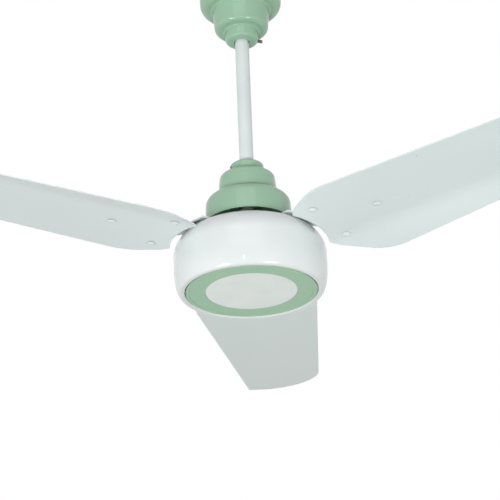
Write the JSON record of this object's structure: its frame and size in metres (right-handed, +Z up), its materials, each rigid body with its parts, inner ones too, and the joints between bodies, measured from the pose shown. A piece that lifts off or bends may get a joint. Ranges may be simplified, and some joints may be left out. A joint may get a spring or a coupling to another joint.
{
  "type": "ceiling fan",
  "caption": "Ceiling fan with pressed blades on a drum motor, hung on a downrod between two stepped canopies from a ceiling hook; the drum and blades turn about the rod.",
  "frame": {"origin": "underside of the rubber reel's groove on the rod's axis, where the ceiling hook carries the fan", "axes": "+Z up along the rod, X along the bolts of the hanging kit, +Y along the first blade"},
  "size_m": [1.252, 1.1044, 0.4878],
  "materials": {
    "white_enamel": "gloss white enamel on aluminium",
    "white_paint": "gloss white paint on steel",
    "green_paint": "soft gloss sage green paint on pressed steel",
    "green_plastic": "sage green moulded plastic",
    "white_plastic": "white moulded plastic",
    "zinc_steel": "zinc plated steel",
    "dark_steel": "blackened steel screw",
    "bearing_steel": "ground bearing steel",
    "lamination": "stacked electrical steel",
    "copper": "enamelled copper wire",
    "cast_aluminium": "as cast",
    "rubber": "black rubber",
    "capacitor_case": "black moulded case",
    "terminal_plastic": "ivory moulded plastic",
    "terminal_brass": "plain brass"
  },
  "bodies": {
    "hanger": {"hanging_shackle": "zinc_steel", "reel_bolt": "zinc_steel", "reel_nut": "zinc_steel", "reel_split_pin": "zinc_steel", "rod_bolt": "zinc_steel", "rod_nut": "zinc_steel", "rod_split_pin": "zinc_steel"},
    "reel": {"shackle_reel": "rubber"},
    "stem": {"downrod": "white_paint", "shaft_coupling": "zinc_steel", "coupling_bolt": "zinc_steel", "coupling_nut": "zinc_steel", "coupling_split_pin": "zinc_steel", "motor_shaft": "bearing_steel", "shaft_circlip": "bearing_steel", "upper_inner_race": "bearing_steel", "lower_inner_race": "bearing_steel", "stator_core": "lamination", "stator_winding": "copper", "capacitor": "capacitor_case", "capacitor_bracket": "zinc_steel", "capacitor_screw": "zinc_steel", "terminal_block": "terminal_plastic", "terminal_screws": "terminal_brass", "block_screw": "zinc_steel"},
    "ceiling_cover": {"ceiling_canopy": "green_paint", "ceiling_canopy_screw": "dark_steel"},
    "motor_cover": {"motor_canopy": "green_paint", "motor_canopy_screw": "dark_steel"},
    "rotor": {"motor_housing": "white_enamel", "bottom_shield": "cast_aluminium", "shield_screws": "zinc_steel", "rotor_core": "lamination", "rotor_cage": "cast_aluminium", "upper_outer_race": "bearing_steel", "lower_outer_race": "bearing_steel", "trim_ring": "green_plastic", "centre_disc": "white_plastic", "iron_screws": "zinc_steel", "blade_1": "white_enamel", "blade_iron_1": "white_paint", "blade_rivets_1": "white_enamel", "blade_2": "white_enamel", "blade_iron_2": "white_paint", "blade_rivets_2": "white_enamel", "blade_3": "white_enamel", "blade_iron_3": "white_paint", "blade_rivets_3": "white_enamel"}
  },
  "joints": [
    {"name": "rotor_spin", "type": "hinge", "parent": "stem", "child": "rotor", "pos_m": [0, 0, -0.41], "axis": [0, 0, 1], "continuous": true},
    {"name": "rod_swing", "type": "hinge", "parent": "hanger", "child": "stem", "pos_m": [0, 0, -0.027], "axis": [1, 0, 0], "range_deg": [-5, 5]},
    {"name": "reel_turn", "type": "hinge", "parent": "hanger", "child": "reel", "pos_m": [0, 0, 0.008], "axis": [1, 0, 0], "continuous": true},
    {"name": "ceiling_canopy_slide", "type": "slide", "parent": "stem", "child": "ceiling_cover", "axis": [0, 0, 1], "range_m": [-0.08, 0]},
    {"name": "motor_canopy_slide", "type": "slide", "parent": "stem", "child": "motor_cover", "axis": [0, 0, 1], "range_m": [0, 0.08]}
  ]
}
